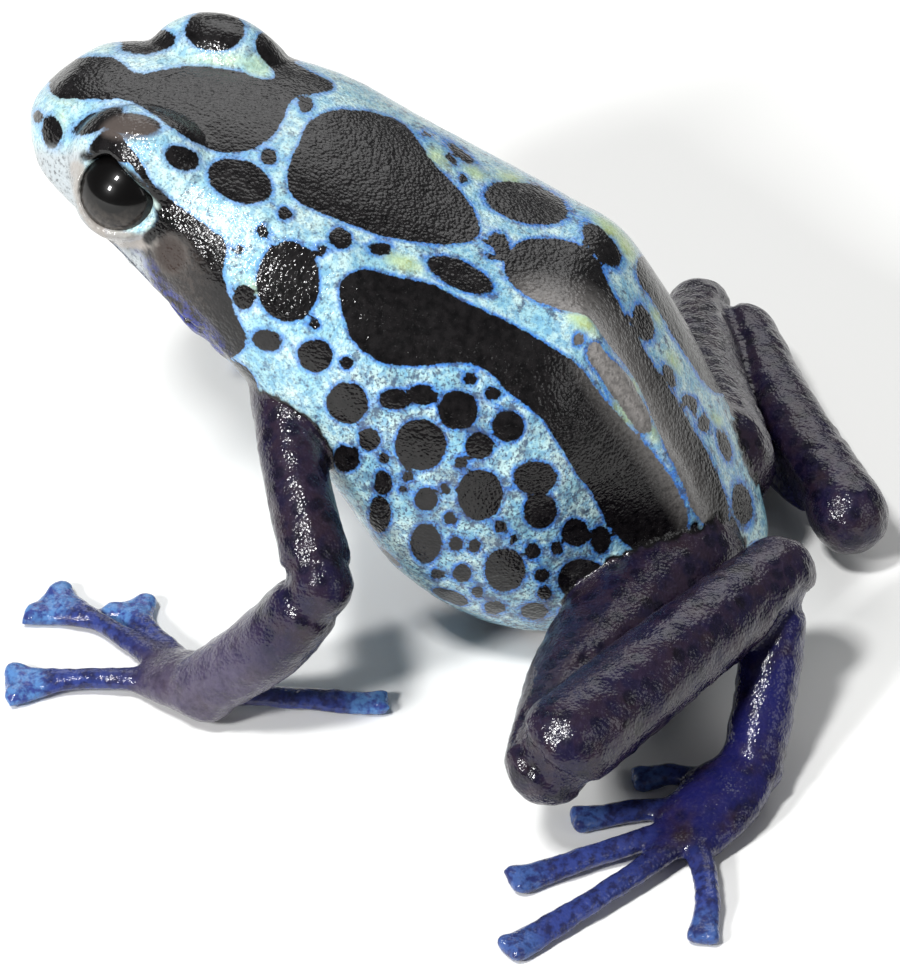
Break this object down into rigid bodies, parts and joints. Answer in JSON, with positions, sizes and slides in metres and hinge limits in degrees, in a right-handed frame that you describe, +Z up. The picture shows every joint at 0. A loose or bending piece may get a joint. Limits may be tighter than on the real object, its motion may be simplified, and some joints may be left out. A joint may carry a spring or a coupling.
{
  "type": "poison dart frog",
  "caption": "Still, life-size blue poison dart frog with net markings, sitting on its belly with bent limbs and spread digits.",
  "frame": {"origin": "middle of the frog's box in plan, at the level of the floor it sits on", "axes": "+Z up from the floor; the trunk points along -Y with the snout forward, and the frog's left side is +X"},
  "size_m": [0.049, 0.0434, 0.0257],
  "materials": {
    "body_skin": "moist granular skin, pale blue net over charcoal spots",
    "limb_skin": "moist granular skin, dark purple brown",
    "digit_skin": "moist smooth skin, deep blue",
    "eye": "wet and glossy"
  },
  "bodies": {
    "root": {"head": "body_skin", "torso": "body_skin", "eye_left": "eye", "eye_right": "eye", "upper_arm_left": "limb_skin", "forearm_left": "limb_skin", "hand_left": "limb_skin", "finger_1_left": "digit_skin", "finger_2_left": "digit_skin", "finger_3_left": "digit_skin", "finger_4_left": "digit_skin", "thigh_left": "limb_skin", "shank_left": "limb_skin", "tarsus_left": "limb_skin", "foot_left": "limb_skin", "toe_1_left": "digit_skin", "toe_2_left": "digit_skin", "toe_3_left": "digit_skin", "toe_4_left": "digit_skin", "toe_5_left": "digit_skin", "upper_arm_right": "limb_skin", "forearm_right": "limb_skin", "hand_right": "limb_skin", "finger_1_right": "digit_skin", "finger_2_right": "digit_skin", "finger_3_right": "digit_skin", "finger_4_right": "digit_skin", "thigh_right": "limb_skin", "shank_right": "limb_skin", "tarsus_right": "limb_skin", "foot_right": "limb_skin", "toe_1_right": "digit_skin", "toe_2_right": "digit_skin", "toe_3_right": "digit_skin", "toe_4_right": "digit_skin", "toe_5_right": "digit_skin"}
  },
  "joints": []
}
